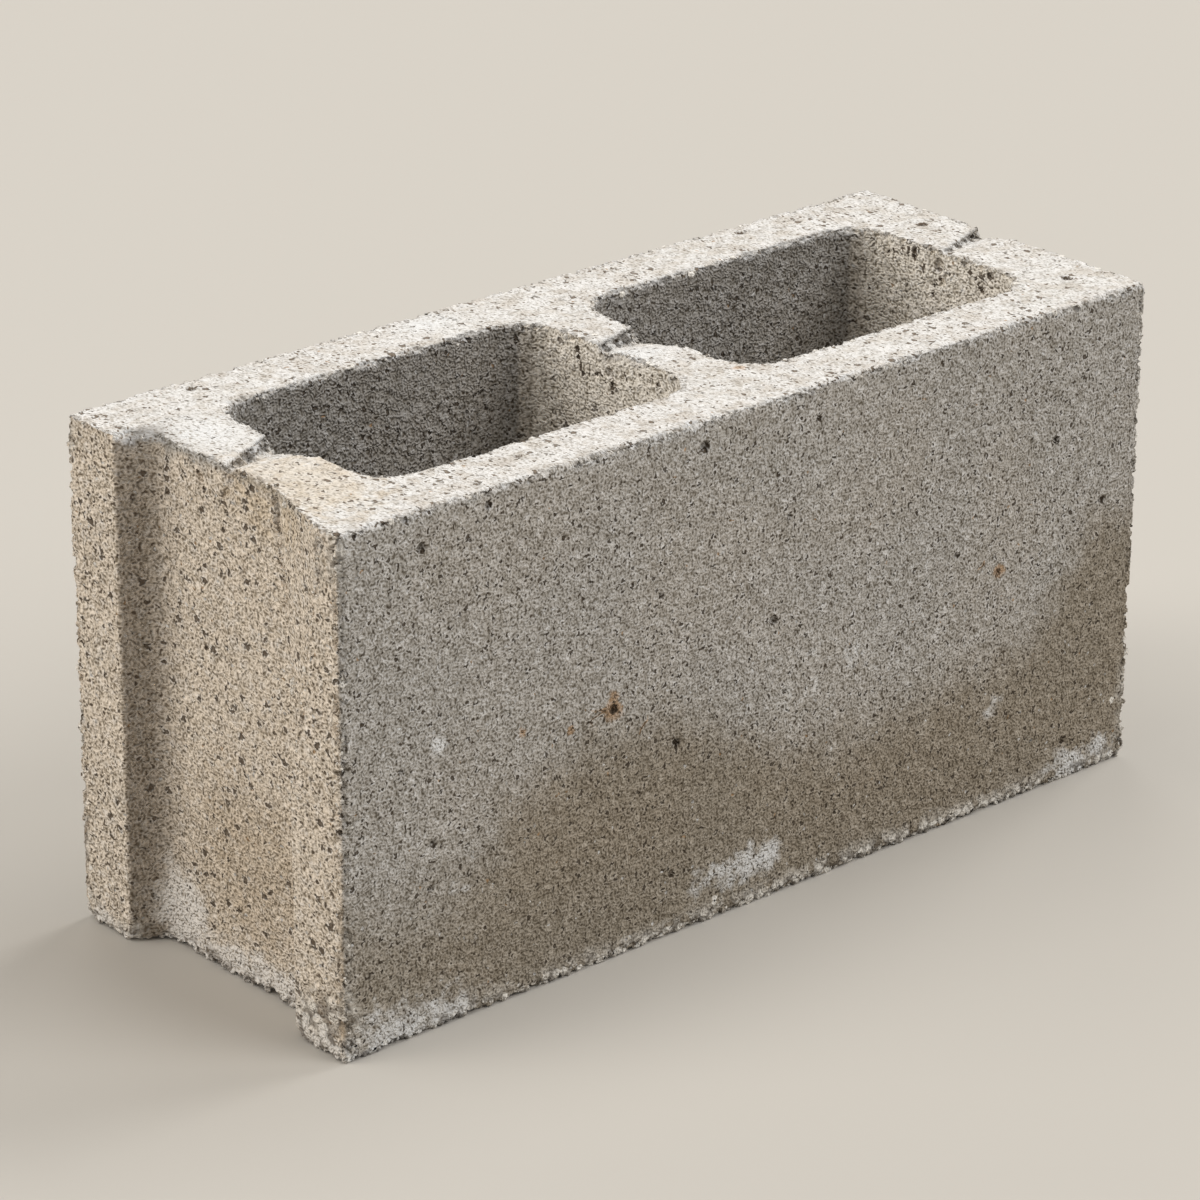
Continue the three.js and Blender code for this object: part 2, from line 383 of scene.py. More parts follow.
class Graph:
    """Adds nodes to a tree and wires them, in shader and in geometry trees alike."""

    def __init__(self, tree):
        self.tree = tree

    def node(self, kind, inputs=(), **settings):
        made = self.tree.nodes.new(kind)
        column, row = divmod(len(self.tree.nodes), NODES_IN_COLUMN)
        made.location = (NODE_SPACING[0] * column, NODE_SPACING[1] * row)
        for name, value in settings.items():
            setattr(made, name, value)
        for name, value in dict(inputs).items():
            self.feed(made.inputs[name], value)
        return made

    def result(self, kind, inputs=(), **settings):
        """What a new node puts out first."""
        return self.node(kind, inputs, **settings).outputs[0]

    def feed(self, socket, value):
        if isinstance(value, bpy.types.NodeSocket):
            self.tree.links.new(value, socket)
        else:
            socket.default_value = value

    def math(self, operation, *values):
        inputs = dict(enumerate(values))
        return self.result("ShaderNodeMath", inputs, operation=operation)

    def chained(self, operation, values):
        """One value from many, taken two at a time."""
        result = values[0]
        for value in values[1:]:
            result = self.math(operation, result, value)
        return result

    def product(self, *values):
        return self.chained("MULTIPLY", values)

    def total(self, *values):
        return self.chained("ADD", values)

    def largest(self, *values):
        return self.chained("MAXIMUM", values)

    def less(self, value, taken):
        return self.math("SUBTRACT", value, taken)

    def centred(self, value):
        """A value from 0 to 1, counted from its middle."""
        return self.less(value, 0.5)

    def vector_math(self, operation, *values):
        inputs = dict(enumerate(values))
        return self.result("ShaderNodeVectorMath", inputs, operation=operation)

    def scaled(self, vector, factor):
        inputs = {"Vector": vector, "Scale": factor}
        return self.result("ShaderNodeVectorMath", inputs, operation="SCALE")

    def apart(self, first, second):
        """The distance between two places."""
        inputs = {0: first, 1: second}
        return self.node("ShaderNodeVectorMath", inputs, operation="DISTANCE").outputs["Value"]

    def parts(self, vector):
        return self.node("ShaderNodeSeparateXYZ", {0: vector}).outputs

    def ease(self, value, low, high):
        """Smoothly from 0 where value is low to 1 where it is high."""
        inputs = {"Value": value, "From Min": low, "From Max": high}
        return self.result("ShaderNodeMapRange", inputs, interpolation_type="SMOOTHSTEP")

    def ramp(self, length, limits):
        """Smoothly from 0 to 1 between two lengths in millimetres."""
        low, high = limits
        return self.ease(length, low * MM, high * MM)

    def spread(self, value, low, high):
        """A value from 0 to 1 spread evenly between low and high."""
        inputs = {"Value": value, "To Min": low, "To Max": high}
        return self.result("ShaderNodeMapRange", inputs)

    def noise(self, vector, size, detail=2.0, roughness=0.5, output="Fac"):
        """Noise whose features are about size millimetres apart."""
        scale = 1 / (size * MM)
        inputs = {"Vector": vector, "Scale": scale, "Detail": detail, "Roughness": roughness}
        return self.node("ShaderNodeTexNoise", inputs).outputs[output]

    def cells(self, vector, size):
        """Voronoi cells about size millimetres across."""
        inputs = {"Vector": vector, "Scale": 1 / (size * MM)}
        return self.node("ShaderNodeTexVoronoi", inputs).outputs

    def bent(self, vector, size, reach, detail=2.0):
        """The vector bent this way and that by up to half of reach millimetres."""
        wobble = self.noise(vector, size, detail, output="Color")
        centred = self.vector_math("SUBTRACT", wobble, (0.5, 0.5, 0.5))
        return self.vector_math("ADD", vector, self.scaled(centred, reach * MM))

    def colour_mix(self, factor, first, second, blend="MIX"):
        made = self.node("ShaderNodeMix", data_type="RGBA", blend_type=blend)
        self.feed(made.inputs[MIX_FACTOR], factor)
        self.feed(made.inputs[MIX_FIRST], opaque(first))
        self.feed(made.inputs[MIX_SECOND], opaque(second))
        return made.outputs[MIX_RESULT]

    def random_value(self, kind, limits, seed):
        low, high, result = RANDOM_SOCKETS[kind]
        inputs = {low: limits[0], high: limits[1], "Seed": seed}
        return self.node("FunctionNodeRandomValue", inputs, data_type=kind).outputs[result]


def opaque(colour):
    """A colour given as three numbers with its alpha added; a socket passes unchanged."""
    return colour if isinstance(colour, bpy.types.NodeSocket) else (*colour, 1.0)


def in_metres(place):
    return tuple(length * MM for length in place)


def pit_field(graph, cell, spacing, share, widest, fine, skew):
    """Pits in a share of the cells: how deep in one a point lies, how near its rim, how far off."""
    dice = graph.parts(cell["Color"])
    ragged = graph.product(graph.centred(fine), PIT_RAGGEDNESS / spacing)
    distance = graph.total(cell["Distance"], ragged)
    narrowest = graph.product(widest, PIT_NARROWEST)
    radius = graph.spread(graph.math("POWER", dice["Y"], skew), narrowest, widest)
    present = graph.math("LESS_THAN", dice["X"], share)
    depth = graph.product(graph.ease(distance, radius, graph.product(radius, PIT_FLOOR)), present)
    rim = graph.product(graph.ease(distance, graph.product(radius, PIT_RIM), radius), present)
    return depth, graph.less(rim, depth), distance


def closeness(graph, vector, centre, reach):
    """1 at the centre of an ellipsoid and 0 at its edge, and less than 0 outside."""
    offset = graph.vector_math("SUBTRACT", vector, in_metres(centre))
    share = graph.vector_math("DIVIDE", offset, in_metres(reach))
    distance = graph.node("ShaderNodeVectorMath", {0: share}, operation="LENGTH").outputs["Value"]
    return graph.less(1.0, distance)


def patch_strength(graph, vector, patch):
    """How close each point is to a patch's centre, times the patch's strength."""
    centre, reach, strength = patch
    return graph.product(closeness(graph, vector, centre, reach), strength)


def sockets(kind, *names):
    """Node sockets of one kind, by their names."""
    return {name: f"NodeSocket{kind}" for name in names}


def new_group(kind, name, inputs, outputs):
    """An empty node group with named sockets: its graph, its inputs and its output node."""
    tree = bpy.data.node_groups.new(name, kind)
    for way, labels in (("INPUT", inputs), ("OUTPUT", outputs)):
        for label, socket in labels.items():
            tree.interface.new_socket(label, in_out=way, socket_type=socket)
    graph = Graph(tree)
    entry = graph.node("NodeGroupInput").outputs
    return graph, entry, graph.node("NodeGroupOutput")


def finish_group(graph, end, results):
    """The group's tree, with what it puts out wired up."""
    for name, value in results.items():
        graph.feed(end.inputs[name], value)
    return graph.tree


# ------ shader node groups

def grain_group():
    """Packed sand and cement: its relief, grains of three sizes and the pores between them."""
    inputs = sockets("Vector", "Vector")
    outputs = sockets("Float", "Height", "Fine", "Lump", "Clump", "Pore")
    graph, entry, end = new_group("ShaderNodeTree", "packed_grain", inputs, outputs)
    fine, lumps, clumps = (graph.noise(entry["Vector"], size, detail=0.0) for size in GRAIN_SIZES)
    height = graph.total(graph.product(fine, FINE_HEIGHT), graph.product(clumps, CLUMP_HEIGHT))
    return finish_group(graph, end, {
        "Height": height,
        "Fine": fine,
        "Lump": lumps,
        "Clump": clumps,
        "Pore": graph.ease(fine, *PORE_NOISE),
    })


def pits_group():
    """Pits and their rims, a tone for each grain, pale flecks, rusty specks, and pebbles."""
    inputs = {
        **sockets("Vector", "Vector"),
        **sockets("Float", "Fine", "Crowding", "Laitance", "Crumbly", "End"),
    }
    outputs = sockets(
        "Float", "Pit", "Wide Pit", "Rim", "Tone", "Fleck", "Speck", "Pebble", "Gap",
        "Pebble Tone",
    )
    graph, entry, end = new_group("ShaderNodeTree", "open_pits", inputs, outputs)

    def pits(cell, kind, more, wider, skew):
        """One kind of pits, with more added to their share and their width."""
        spacing, share, widest = kind
        crowded = graph.product(entry["Crowding"], graph.total(share, more))
        wide = graph.total(widest, wider)
        return pit_field(graph, cell, spacing, crowded, wide, entry["Fine"], skew)

    small, large = (graph.cells(entry["Vector"], kind[0]) for kind in (FINE_PITS, OPEN_PITS))
    in_laitance, wider = (graph.product(entry["Laitance"], most) for most in LAITANCE_PITS)
    more = graph.math("MULTIPLY_ADD", entry["End"], END_PITS, in_laitance)
    fine, _, distance = pits(small, FINE_PITS, 0.0, 0.0, 1.0)
    broad, rim, _ = pits(large, OPEN_PITS, more, wider, FEW_WIDE)
    wide = graph.product(broad, graph.less(1.0, entry["Crumbly"]))
    middle = graph.ease(distance, *GRAIN_MIDDLE)
    dice = graph.parts(small["Color"])
    return finish_group(graph, end, {
        "Pit": graph.largest(fine, wide),
        "Wide Pit": wide,
        "Rim": rim,
        "Tone": dice["Z"],
        "Fleck": graph.product(middle, graph.math("GREATER_THAN", dice["X"], FLECKED)),
        "Speck": graph.product(middle, graph.math("COMPARE", dice["X"], *RUSTY)),
        "Pebble": graph.ease(large["Distance"], *PEBBLE),
        "Gap": graph.ease(large["Distance"], *GAP),
        "Pebble Tone": graph.parts(large["Color"])["Z"],
    })


def coated(graph, entry, colour, coats):
    """A colour under a row of coats, each of which hides what COVER says."""
    for name, coat in coats:
        colour = graph.colour_mix(graph.product(entry[name], COVER[name]), colour, coat)
    return colour


def clean_colour(graph, entry):
    """The colour of the cement and of its grains, before anything has stained them, with the
    painted warm light of the ends in it.
    """
    cement = graph.colour_mix(entry["Warm"], CEMENT, CEMENT_WARM)
    laitance = graph.colour_mix(entry["Cloud"], LAITANCE, LAITANCE_WORN)
    colour = coated(graph, entry, cement, (
        ("End", END_TAN),
        ("Core End", CORE_END),
        ("Laitance", laitance),
        ("Ochre", OCHRE),
        ("Broken", BLUE_GREY),
    ))
    for limits, grain_colour in ((PALE_TONES, PALE_GRAIN), (DARK_TONES, DARK_GRAIN)):
        chosen = graph.product(graph.ease(entry["Tone"], *limits), TONE_COVER)
        colour = graph.colour_mix(chosen, colour, grain_colour)
    # The pale ring round each open pit is a painted highlight on its lip.
    return coated(graph, entry, colour, [("Rim", PALE_GRAIN)])


def grain_tinted(graph, entry, colour):
    """A colour darkened where each size of grain is low and lightened where it is high: partly the
    grain's own tone, and, for the fine grain and the clumps that also make the relief, painted
    shade in its hollows and painted light on its crests.
    """
    calm = graph.less(1.0, graph.product(entry["Laitance"], LAITANCE_CALM))
    rough = graph.less(entry["End"], graph.product(entry["Core End"], CORE_END_TINT))
    clumped = graph.math("MULTIPLY_ADD", rough, CLUMP_TINT_AT_END, CLUMP_TINT)
    amounts = {
        "Fine": calm,
        "Lump": graph.product(rough, LUMP_TINT),
        "Clump": graph.product(clumped, calm),
    }
    for name, amount in amounts.items():
        inputs = {"Value": entry[name], "From Min": LOW_GRAIN, "From Max": HIGH_GRAIN}
        level = graph.result("ShaderNodeMapRange", inputs)
        tint = graph.colour_mix(level, LOW_TINT, HIGH_TINT)
        colour = graph.colour_mix(amount, colour, tint, "MULTIPLY")
    return colour


def weathered_colour_group():
    """The colour of the concrete, from its own grain and from what has got onto it, with painted
    light and shade: warm light on the ends, and shade in the cores, on the far cheek and in every
    hollow.
    """
    inputs = sockets(
        "Float", "Tone", "Fine", "Lump", "Clump", "Pore", "Pit", "Rim", "Fleck", "Speck",
        "Pale Stone", "Gap", "Warm", "Cloud", "End", "Core End", "Laitance", "Ochre", "Broken",
        "Grime", "Damp", "Rust", "Bloom", "Hole",
    )
    outputs = sockets("Color", "Color")
    graph, entry, end = new_group("ShaderNodeTree", "weathered_colour", inputs, outputs)

    colour = grain_tinted(graph, entry, clean_colour(graph, entry))
    # The first of these darkens with painted shade in the cores and on the far cheek; the second is
    # real damp.
    for name, darkening in (("Grime", PAINTED_SHADE), ("Damp", DAMP)):
        colour = graph.colour_mix(entry[name], colour, darkening, "MULTIPLY")
    salt = graph.colour_mix(entry["End"], BLOOM, BLOOM_ON_TAN)
    # The hollow colour is painted shade, laid into the gaps, pores, pits and bug holes below.
    bare_hollow = graph.colour_mix(entry["End"], PIT, PIT_IN_TAN)
    hollow = graph.colour_mix(entry["Laitance"], bare_hollow, PIT_IN_LAITANCE)
    return finish_group(graph, end, {"Color": coated(graph, entry, colour, (
        ("Pale Stone", PALE_STONE),
        ("Fleck", BLOOM),
        ("Speck", RUST),
        ("Rust", RUST),
        ("Bloom", salt),
        ("Gap", hollow),
        ("Pore", hollow),
        ("Pit", hollow),
        ("Hole", hollow),
    ))})


# ------ materials

STORED_MARKS = (
    "crowding", "laitance", "crumbly", "end", "core_end", "warm", "broken", "grime", "damp",
    "bloom", "ochre", "hole_radius", "hole_rust", "stone_tone",
)


def new_material(name):
    """A material with an empty graph but for its shader: the graph and the shader's inputs."""
    material = bpy.data.materials.new(name)
    material.use_nodes = True
    return material, Graph(material.node_tree), material.node_tree.nodes["Principled BSDF"].inputs


def attribute(graph, name, output="Fac"):
    return graph.node("ShaderNodeAttribute", attribute_name=name).outputs[output]


def edged(graph, marks, name, cloud):
    """A stored mark with its edge broken up by cloudy noise."""
    low, high, reach = STAIN_EDGES[name]
    wobble = graph.product(graph.centred(cloud), reach)
    return graph.ease(graph.total(marks[name], wobble), low, high)


def hole_masks(graph, vector, marks, fine, cloud):
    """Where the single bug holes are, and where rust has spread round them."""
    away = graph.apart(vector, attribute(graph, "hole_centre", "Vector"))
    ragged = graph.math("MULTIPLY_ADD", graph.centred(fine), HOLE_WANDER * MM, away)
    streaked = graph.math("MULTIPLY_ADD", graph.centred(cloud), RUST_WANDER * MM, ragged)
    radius = marks["hole_radius"]
    hole = graph.ease(ragged, radius, graph.product(radius, HOLE_FLOOR))
    rust = graph.ease(streaked, graph.total(radius, marks["hole_rust"]), radius)
    return hole, rust


def bloom_masks(graph, marks, fine, cloud):
    """Where efflorescence lies, and how much of the pores and of the pits it leaves open."""
    bloom = graph.product(edged(graph, marks, "bloom", cloud), graph.ease(fine, *MEALY_NOISE))
    unfilled = graph.math("MULTIPLY_ADD", bloom, BLOOM_FILLS, 1.0)
    fewer = graph.math("MULTIPLY_ADD", marks["core_end"], CORE_END_PITS, unfilled)
    return bloom, unfilled, graph.largest(fewer, 0.0)


def concrete_relief(graph, marks, grain, pits, pitted):
    """The height of the grain and the pebbles, less that of the wide pits."""
    roughness = 1.0
    for name, more in ROUGHER.items():
        roughness = graph.math("MULTIPLY_ADD", marks[name], more, roughness)
    packed = graph.product(grain["Height"], roughness)
    pebbles = graph.product(pits["Pebble"], graph.product(marks["crumbly"], PEBBLE_HEIGHT))
    hollows = graph.product(graph.product(pits["Wide Pit"], pitted), PIT_HEIGHT)
    return graph.total(packed, pebbles, hollows)


def concrete_material(groups):
    """The block's one material, which reads the marks that are stored on each mesh."""
    material, graph, shader = new_material("cast_concrete")
    vector = graph.node("ShaderNodeTexCoord").outputs["Object"]
    marks = {name: attribute(graph, name) for name in STORED_MARKS}

    def group(name, inputs):
        return graph.node("ShaderNodeGroup", inputs, node_tree=groups[name]).outputs

    stretched = graph.vector_math("MULTIPLY", vector, GRAIN_STRETCH)
    curled = graph.bent(stretched, *GRAIN_CURL, detail=0.0)
    cloud = graph.noise(vector, CLOUD_SIZE, detail=3.0, roughness=0.7)
    grain = group("grain", {"Vector": curled})
    pit_marks = ("Crowding", "Laitance", "Crumbly", "End")
    pits = group("pits", {
        "Vector": curled,
        "Fine": grain["Fine"],
        **{name: marks[name.lower()] for name in pit_marks},
    })

    pale_pebble = graph.product(graph.ease(pits["Pebble Tone"], *PEBBLE_TONES), marks["crumbly"])
    pale_stone = graph.ease(marks["stone_tone"], *STONE_TONES)
    hole, rust = hole_masks(graph, vector, marks, grain["Fine"], cloud)
    bloom, unfilled, pitted = bloom_masks(graph, marks, grain["Fine"], cloud)

    colour = group("colour", {
        **{name: grain[name] for name in ("Fine", "Lump", "Clump")},
        **{name: pits[name] for name in ("Tone", "Rim", "Fleck", "Speck")},
        **{name: marks[name.lower()] for name in ("Warm", "End", "Laitance", "Broken", "Grime")},
        "Core End": marks["core_end"],
        "Pore": graph.product(grain["Pore"], unfilled),
        "Pit": graph.product(pits["Pit"], pitted),
        "Pale Stone": graph.largest(pale_stone, pale_pebble),
        "Gap": graph.product(pits["Gap"], marks["crumbly"]),
        "Cloud": graph.ease(cloud, *CLOUD_NOISE),
        "Ochre": edged(graph, marks, "ochre", cloud),
        "Damp": edged(graph, marks, "damp", cloud),
        "Rust": rust,
        "Bloom": bloom,
        "Hole": hole,
    })["Color"]
    graph.feed(shader["Base Color"], colour)

    height = concrete_relief(graph, marks, grain, pits, pitted)
    bump_inputs = {"Strength": 1.0, "Distance": RELIEF_REACH * MM, "Height": height}
    graph.feed(shader["Normal"], graph.result("ShaderNodeBump", bump_inputs))
    shader["Roughness"].default_value = ROUGHNESS
    shader["Specular IOR Level"].default_value = SPECULAR
    return material


def floor_material():
    """Plain and quite matt."""
    material, _, shader = new_material("studio_floor")
    shader["Base Color"].default_value = opaque(FLOOR_COLOUR)
    shader["Roughness"].default_value = 1.0
    shader["Specular IOR Level"].default_value = 0.0
    return material


# ------ mesh helpers

def link(name, mesh):
    """A new object that holds a mesh, in the scene."""
    made = bpy.data.objects.new(name, mesh)
    bpy.context.scene.collection.objects.link(made)
    return made


def settled(made):
    """The mesh that an object's modifiers make of it."""
    depsgraph = bpy.context.evaluated_depsgraph_get()
    return bpy.data.meshes.new_from_object(made.evaluated_get(depsgraph))


def discard(*helpers):
    for helper in helpers:
        bpy.data.objects.remove(helper)


def merged_copy(node):
    """A closed copy of a CAD node's mesh, with its loose triangles joined."""
    mesh = bpy.data.meshes.new("closed_copy")
    shape = bmesh.new()
    shape.from_mesh(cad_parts[node].data)
    bmesh.ops.remove_doubles(shape, verts=shape.verts, dist=JOIN_DISTANCE * MM)
    shape.to_mesh(mesh)
    shape.free()
    return mesh


def arris_lines(mesh):
    """An object of the sharp outer edges of a closed mesh."""
    shape = bmesh.new()
    shape.from_mesh(mesh)
    sharp = math.radians(SHARP_ANGLE)
    step = math.radians(STEP_ANGLE)
    top = cad_bounds[1][2] - TOP_SKIN * MM

    def kept_sharp(edge):
        on_top = all(vert.co.z > top for vert in edge.verts)
        return edge.calc_face_angle_signed(0.0) >= (step if on_top else sharp)

    smooth = [edge for edge in shape.edges if not kept_sharp(edge)]
    bmesh.ops.delete(shape, geom=list(shape.faces), context="FACES_ONLY")
    bmesh.ops.delete(shape, geom=smooth, context="EDGES")
    lines = bpy.data.meshes.new("arris_lines")
    shape.to_mesh(lines)
    shape.free()
    return link("arris_lines", lines)


# Where each length that a vertex carries stands in the dent's row
DENT_COLUMNS = {"radius": 3, "rust": 4}


def dent_points(name, dents):
    """An object with a vertex at each dent, which carries the dent's radius and spread of rust."""
    mesh = bpy.data.meshes.new(name)
    mesh.from_pydata([Vector(dent[:3]) * MM for dent in dents], [], [])
    for attribute_name, column in DENT_COLUMNS.items():
        lengths = [dent[column] if len(dent) > column else 0 for dent in dents]
        stored = mesh.attributes.new(attribute_name, "FLOAT", "POINT")
        stored.data.foreach_set("value", in_metres(lengths))
    return link(name, mesh)


def bug_holes():
    """Every bug hole's place, radius and spread of rust."""
    return [
        (*hole[:axis], level, *hole[axis:]) for axis, level, holes in BUG_HOLES for hole in holes
    ]


# ------ geometry trees

def geometry_group(name, inputs):
    """A geometry tree with a Geometry input and output and named inputs."""
    shape = sockets("Geometry", "Geometry")
    return new_group("GeometryNodeTree", name, {**shape, **inputs}, shape)


def run_tree(made, tree, values):
    """Adds a geometry tree to an object as a modifier, with its named inputs set."""
    modifier = made.modifiers.new(tree.name, "NODES")
    modifier.node_group = tree
    for item in tree.interface.items_tree:
        if item.in_out == "INPUT" and item.name in values:
            modifier[item.identifier] = values[item.name]


def position_of(graph):
    return graph.result("GeometryNodeInputPosition")


def normal_of(graph):
    return graph.result("GeometryNodeInputNormal")


def stored_on(graph, geometry, name, value, data_type="FLOAT", domain="POINT"):
    """The geometry with a value stored on it under a name."""
    inputs = {"Geometry": geometry, "Name": name, "Value": value}
    settings = {"data_type": data_type, "domain": domain}
    return graph.result("GeometryNodeStoreNamedAttribute", inputs, **settings)


def arris_distance(graph, arrises):
    """Distance from each point to the nearest arris."""
    lines = graph.node("GeometryNodeObjectInfo", {"Object": arrises}).outputs["Geometry"]
    near = graph.node("GeometryNodeProximity", {0: lines}, target_element="EDGES")
    return near.outputs["Distance"]


def nearest_dent(graph, dents, position):
    """The centre, the radius and the spread of rust of the dent nearest to each point."""
    points = graph.node("GeometryNodeObjectInfo", {"Object": dents}).outputs["Geometry"]
    inputs = {"Geometry": points, "Sample Position": position}
    nearest = graph.result("GeometryNodeSampleNearest", inputs)

    def taken(value, data_type):
        inputs = {"Geometry": points, "Value": value, "Index": nearest}
        return graph.result("GeometryNodeSampleIndex", inputs, data_type=data_type)

    def stored(name):
        inputs = {"Name": name}
        return graph.result("GeometryNodeInputNamedAttribute", inputs, data_type="FLOAT")

    centre = taken(position_of(graph), "FLOAT_VECTOR")
    return centre, taken(stored("radius"), "FLOAT"), taken(stored("rust"), "FLOAT")


def dent_depth(graph, dents, position, share):
    """How deep a round dent is at each point, at most a share of the dent's radius."""
    centre, radius, _ = nearest_dent(graph, dents, position)
    ratio = graph.math("DIVIDE", graph.apart(position, centre), radius)
    return graph.product(graph.ease(ratio, 1.0, DENT_FLOOR), graph.product(radius, share))


# ------ marks on the skin

def damp_line(graph, along):
    """Height of the damp line on the front, from 0 to 1 along the block."""
    low, high = cad_bounds
    curve = graph.node("ShaderNodeFloatCurve", {"Value": along})
    points = curve.mapping.curves[0].points
    for _ in range(len(DAMP_LINE) - len(points)):
        points.new(0.5, 0.5)
    for point, (x, z) in zip(points, DAMP_LINE):
        point.location = ((x * MM - low[0]) / (high[0] - low[0]), z * MM / high[2])
    curve.mapping.update()
    return graph.product(curve.outputs[0], high[2])


def damp_field(graph, position):
    """1 in the darker foot of the front, the back and the plain end, and in the brown patch."""
    low, high = cad_bounds
    outer, inner = in_metres(FACE_SKIN)
    place = graph.parts(graph.bent(position, *DAMP_BEND))
    across = graph.parts(position)["Y"]

    along = graph.math("DIVIDE", graph.less(place["X"], low[0]), high[0] - low[0])
    below_line = graph.ramp(graph.less(damp_line(graph, along), place["Z"]), DAMP_EDGE)
    strength = graph.spread(graph.ramp(place["X"], DAMP_FADE_X), DAMP_LEFT, 1.0)
    on_front = graph.ease(across, low[1] + outer, low[1] + inner)
    front = graph.product(below_line, strength, on_front)

    on_back = graph.ease(across, high[1] - outer, high[1] - inner)
    on_plain_end = graph.ease(place["X"], high[0] - outer, high[0] - inner)
    low_down = graph.ramp(place["Z"], BACK_DAMP_Z)
    behind = graph.product(low_down, graph.largest(on_back, on_plain_end), BACK_DAMP)

    patch = patch_strength(graph, graph.bent(position, *BROWN_BEND), BROWN_PATCH)
    brown = graph.product(graph.ease(patch, *BROWN_EDGE), BROWN_DAMP)
    return graph.largest(front, brown, behind)


def crumbly_field(graph, arrises, position):
    """1 where the concrete has crumbled: along the foot and at the ends of the arrises."""
    height = graph.parts(position)["Z"]
    away = arris_distance(graph, arrises)
    at_foot = graph.product(graph.ramp(away, FOOT_AWAY), graph.ramp(height, FOOT_Z))
    ends = graph.largest(graph.ramp(height, CRUMBLED_LOW_Z), graph.ramp(height, CRUMBLED_HIGH_Z))
    on_arris = graph.product(graph.ramp(away, ARRIS_AWAY), ends, ARRIS_CRUMBLE)
    at_corner = graph.ease(closeness(graph, position, *CRUMBLED_CORNER), *AT_CORNER)
    patchy = graph.ease(graph.noise(position, CRUMBLE_PATCH, detail=1.0), *CRUMBLED_NOISE)
    below_top = graph.ramp(height, SOUND_TOP_Z)
    return graph.product(graph.largest(at_foot, on_arris, at_corner), patchy, below_top)


def wall_marks(graph, position):
    """Masks that follow from which way the concrete faces: its ends, its top and its cores. The end
    masks carry painted warm light as well as the ends' own tan, and the shaded mask is painted
    shade in the cores and on the far cheek.
    """
    low, high = cad_bounds
    facing = graph.parts(normal_of(graph))
    place = graph.parts(position)
    sideways = graph.math("ABSOLUTE", place["Y"])
    faces_end = graph.ease(facing["X"], *END_FACING)
    faces_shell = graph.ease(graph.math("ABSOLUTE", facing["Y"]), *SHELL_FACING)
    faces_up = graph.ease(facing["Z"], *UP_FACING)

    in_recess = graph.ramp(place["X"], RECESS_X)
    in_core = graph.product(graph.ramp(sideways, CORE_Y), graph.math("LESS_THAN", in_recess, 0.5))
    # Painted light: the core walls that face -X get the pale end colour.
    core_end = graph.product(faces_end, in_core)
    # Painted shade: the core walls that face the shells, and the recess's far cheek where the
    # flange's shadow falls, are darkened.
    core_side = graph.product(faces_shell, in_core, CORE_PAINTED_SHADE)
    far_cheek = graph.product(
        in_recess, graph.ramp(place["Y"], FAR_CHEEK_Y), graph.ramp(place["Y"], FAR_LIP_Y)
    )

    past_end = graph.less(low[0], place["X"])
    past_side = graph.less(sideways, high[1])
    nearer_end = graph.ramp(graph.less(past_end, past_side), CORNER_SPLIT)
    flange_face = graph.product(nearer_end, graph.ramp(place["X"], FLANGE_X))
    recess_wall = graph.product(
        graph.ramp(place["X"], RECESS_WALL_X),
        graph.ramp(sideways, BETWEEN_FLANGES_Y),
        graph.ramp(place["Z"], BELOW_TOP_Z),
    )
    return {
        "end": graph.largest(flange_face, recess_wall, core_end),
        "core_end": core_end,
        "laitance": graph.product(faces_up, graph.ramp(place["Z"], NEAR_TOP_Z)),
        "grime": graph.largest(far_cheek, core_side),
    }


def marks_tree():
    """Stores on a skin how close each point is to each mark, stains and painted light and shade
    alike, for the material to read.
    """
    inputs = sockets("Object", "Arrises", "Bug Holes")
    graph, entry, end = geometry_group("marked_skin", inputs)
    position = position_of(graph)
    centre, radius, rust = nearest_dent(graph, entry["Bug Holes"], position)
    warm = graph.noise(position, WARM_PATCH, detail=2.0)
    pit_patch = graph.ease(graph.noise(position, PIT_PATCHES, detail=1.0), *PATCH_NOISE)
    marks = {
        "damp": damp_field(graph, position),
        "bloom": graph.largest(*(patch_strength(graph, position, patch) for patch in BLOOMS)),
        "ochre": closeness(graph, graph.bent(position, *OCHRE_BEND), *OCHRE_PATCH),
        "warm": graph.ease(warm, *PATCH_NOISE),
        "crowding": graph.spread(pit_patch, *CROWDING),
        "crumbly": crumbly_field(graph, entry["Arrises"], position),
        "hole_radius": radius,
        "hole_rust": rust,
        **wall_marks(graph, position),
    }
    marked_skin = stored_on(graph, entry["Geometry"], "hole_centre", centre, "FLOAT_VECTOR")
    for name, value in marks.items():
        marked_skin = stored_on(graph, marked_skin, name, graph.largest(value, -1.0))
    return finish_group(graph, end, {"Geometry": marked_skin})


# ------ the block's skin

def arris_wear(graph, entry, position, height):
    """How much has crumbled off beside each arris, and more of it towards the foot."""
    grain = graph.parts(graph.cells(graph.bent(position, *WEAR_BEND), WEAR_GRAIN)["Color"])
    patches = graph.noise(position, WEAR_PATCH, detail=2.0, roughness=0.6)
    near = graph.ease(arris_distance(graph, entry["Arrises"]), entry["Arris Reach"], 0.0)
    chance = graph.product(near, graph.spread(graph.ease(patches, *WORN_NOISE), *WEAR_CHANCE))
    lost = graph.ease(graph.less(chance, grain["X"]), 0.0, LOST_EDGE)
    crumble = graph.product(lost, graph.spread(grain["Y"], *GRAIN_DEPTH))
    foot = graph.product(graph.ease(height, entry["Foot Reach"], 0.0), entry["Foot Wear"])
    return graph.product(graph.total(entry["Arris Wear"], foot), crumble)


def undercut(graph, entry, height):
    """How far the lowest edge draws in."""
    low_down = graph.product(graph.ramp(height, (UNDERCUT_HEIGHT, 0.0)), entry["Undercut"])
    away = arris_distance(graph, entry["Arrises"])
    return graph.product(low_down, graph.ramp(away, UNDERCUT_AWAY))


